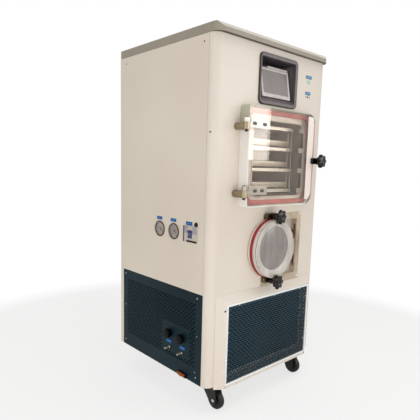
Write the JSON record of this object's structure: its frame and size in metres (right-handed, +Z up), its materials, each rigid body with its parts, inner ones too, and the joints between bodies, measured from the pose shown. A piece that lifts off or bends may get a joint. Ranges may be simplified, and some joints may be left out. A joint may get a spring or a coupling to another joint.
{
  "type": "freeze dryer",
  "caption": "Upright laboratory freeze dryer on casters with a shelved drying chamber behind a clear hinged door, a round cold trap under a clear cover and a touch panel.",
  "frame": {"origin": "floor level, under the middle of the bounding box in X and Y", "axes": "+Z up, the front with the chamber door faces -Y, +X to the right as seen from the front"},
  "size_m": [0.691, 0.7056, 1.447],
  "materials": {
    "cream_paint": "smooth powder coat",
    "lid_paint": "satin powder coat",
    "teal_paint": "fine powder coat",
    "stainless": "brushed and polished stainless sheet",
    "bright_steel": "polished plate",
    "zinc": "zinc plated sheet",
    "clear_acrylic": "polished clear acrylic",
    "red_silicone": "moulded silicone",
    "black_plastic": "moulded phenolic",
    "dark_plastic": "fine grain moulding",
    "panel_plastic": "light grey moulding",
    "caster_tread": "hard rubber",
    "caster_steel": "black coated steel",
    "copper": "drawn copper tube"
  },
  "bodies": {
    "cabinet": {"base_tray": "zinc", "machine_deck": "zinc", "condenser": "zinc", "front_fascia": "cream_paint", "left_panel": "cream_paint", "right_panel": "cream_paint", "rear_panel": "cream_paint", "lower_front_frame": "cream_paint", "left_vent_panel": "teal_paint", "front_grille": "teal_paint", "lid": "lid_paint", "hmi_bezel": "dark_plastic", "hmi_unit": "panel_plastic", "breaker_body": "panel_plastic", "gauge_case_1": "bright_steel", "gauge_case_2": "bright_steel", "drain_nozzle_1": "bright_steel", "drain_nozzle_2": "bright_steel", "hinge_pin_lower": "bright_steel", "hinge_pin_upper": "bright_steel", "latch_boss": "bright_steel", "clamp_post_lower": "bright_steel", "clamp_post_upper": "bright_steel", "copper_pipe": "copper", "chamber_shell": "stainless", "shelf_rack": "stainless", "tray_1": "stainless", "tray_2": "stainless", "tray_3": "stainless", "hinge_post_lower": "stainless", "hinge_post_upper": "stainless", "trap_surround": "stainless", "trap_vessel": "stainless", "chamber_gasket": "red_silicone", "trap_gasket": "red_silicone", "trap_disc": "clear_acrylic", "compressor": "caster_steel"},
    "door": {"chamber_door": "clear_acrylic", "hinge_leaf_lower": "bright_steel", "hinge_leaf_upper": "bright_steel", "latch_arm": "black_plastic"},
    "latch_knob": {"latch_knob": "black_plastic"},
    "clamp_dog_lower": {"clamp_dog_lower": "black_plastic"},
    "clamp_dog_upper": {"clamp_dog_upper": "black_plastic"},
    "clamp_knob_lower": {"clamp_knob_lower": "black_plastic"},
    "clamp_knob_upper": {"clamp_knob_upper": "black_plastic"},
    "valve_knob_1": {"valve_knob_1": "black_plastic"},
    "valve_knob_2": {"valve_knob_2": "black_plastic"},
    "breaker_toggle": {"breaker_toggle": "dark_plastic"},
    "gauge_pointer_1": {"gauge_pointer_1": "black_plastic"},
    "gauge_pointer_2": {"gauge_pointer_2": "black_plastic"},
    "condenser_fan": {"condenser_fan": "dark_plastic"},
    "fork_front_left": {"caster_fork_front_left": "caster_steel"},
    "wheel_front_left": {"caster_wheel_front_left": "caster_tread"},
    "fork_front_right": {"caster_fork_front_right": "caster_steel"},
    "wheel_front_right": {"caster_wheel_front_right": "caster_tread"},
    "fork_rear_left": {"caster_fork_rear_left": "caster_steel"},
    "wheel_rear_left": {"caster_wheel_rear_left": "caster_tread"},
    "fork_rear_right": {"caster_fork_rear_right": "caster_steel"},
    "wheel_rear_right": {"caster_wheel_rear_right": "caster_tread"}
  },
  "joints": [
    {"name": "door_swing", "type": "hinge", "parent": "cabinet", "child": "door", "pos_m": [-0.205, -0.3107, 0.9835], "axis": [0, 0, -1], "range_deg": [0, 110]},
    {"name": "latch_turn", "type": "hinge", "parent": "door", "child": "latch_knob", "pos_m": [0.239, -0.3387, 0.993], "axis": [0, -1, 0], "continuous": true},
    {"name": "clamp_dog_lower_turn", "type": "hinge", "parent": "cabinet", "child": "clamp_dog_lower", "pos_m": [0.003, -0.3107, 0.501], "axis": [0, 1, 0], "range_deg": [0, 90]},
    {"name": "clamp_knob_lower_turn", "type": "hinge", "parent": "cabinet", "child": "clamp_knob_lower", "pos_m": [0.003, -0.3247, 0.501], "axis": [0, -1, 0], "continuous": true},
    {"name": "clamp_dog_upper_turn", "type": "hinge", "parent": "cabinet", "child": "clamp_dog_upper", "pos_m": [0.003, -0.3107, 0.767], "axis": [0, -1, 0], "range_deg": [0, 90]},
    {"name": "clamp_knob_upper_turn", "type": "hinge", "parent": "cabinet", "child": "clamp_knob_upper", "pos_m": [0.003, -0.3247, 0.767], "axis": [0, -1, 0], "continuous": true},
    {"name": "valve_1_turn", "type": "hinge", "parent": "cabinet", "child": "valve_knob_1", "pos_m": [-0.3315, -0.0307, 0.275], "axis": [-1, 0, 0], "range_deg": [0, 360]},
    {"name": "valve_2_turn", "type": "hinge", "parent": "cabinet", "child": "valve_knob_2", "pos_m": [-0.3315, -0.1117, 0.275], "axis": [-1, 0, 0], "range_deg": [0, 360]},
    {"name": "breaker_throw", "type": "hinge", "parent": "cabinet", "child": "breaker_toggle", "pos_m": [-0.3125, -0.1502, 0.702], "axis": [0, 1, 0], "range_deg": [-56, 0]},
    {"name": "gauge_1_sweep", "type": "hinge", "parent": "cabinet", "child": "gauge_pointer_1", "pos_m": [-0.3175, 0.0453, 0.701], "axis": [1, 0, 0], "range_deg": [0, 270], "stiffness_Nm_per_rad": 0.001, "springref_deg": -17.19},
    {"name": "gauge_2_sweep", "type": "hinge", "parent": "cabinet", "child": "gauge_pointer_2", "pos_m": [-0.3175, -0.0477, 0.701], "axis": [1, 0, 0], "range_deg": [0, 270], "stiffness_Nm_per_rad": 0.001, "springref_deg": -17.19},
    {"name": "swivel_front_left", "type": "hinge", "parent": "cabinet", "child": "fork_front_left", "pos_m": [-0.237, -0.1947, 0.105], "axis": [0, 0, 1], "continuous": true},
    {"name": "roll_front_left", "type": "hinge", "parent": "fork_front_left", "child": "wheel_front_left", "pos_m": [-0.237, -0.2327, 0.0375], "axis": [1, 0, 0], "continuous": true},
    {"name": "swivel_front_right", "type": "hinge", "parent": "cabinet", "child": "fork_front_right", "pos_m": [0.263, -0.1947, 0.105], "axis": [0, 0, 1], "continuous": true},
    {"name": "roll_front_right", "type": "hinge", "parent": "fork_front_right", "child": "wheel_front_right", "pos_m": [0.263, -0.2327, 0.0375], "axis": [1, 0, 0], "continuous": true},
    {"name": "swivel_rear_left", "type": "hinge", "parent": "cabinet", "child": "fork_rear_left", "pos_m": [-0.127, 0.2908, 0.105], "axis": [0, 0, 1], "continuous": true},
    {"name": "roll_rear_left", "type": "hinge", "parent": "fork_rear_left", "child": "wheel_rear_left", "pos_m": [-0.127, 0.2528, 0.0375], "axis": [1, 0, 0], "continuous": true},
    {"name": "swivel_rear_right", "type": "hinge", "parent": "cabinet", "child": "fork_rear_right", "pos_m": [0.153, 0.2908, 0.105], "axis": [0, 0, 1], "continuous": true},
    {"name": "roll_rear_right", "type": "hinge", "parent": "fork_rear_right", "child": "wheel_rear_right", "pos_m": [0.153, 0.2528, 0.0375], "axis": [1, 0, 0], "continuous": true},
    {"name": "fan_spin", "type": "hinge", "parent": "cabinet", "child": "condenser_fan", "pos_m": [-0.047, -0.1377, 0.2423], "axis": [0, 1, 0], "continuous": true}
  ]
}
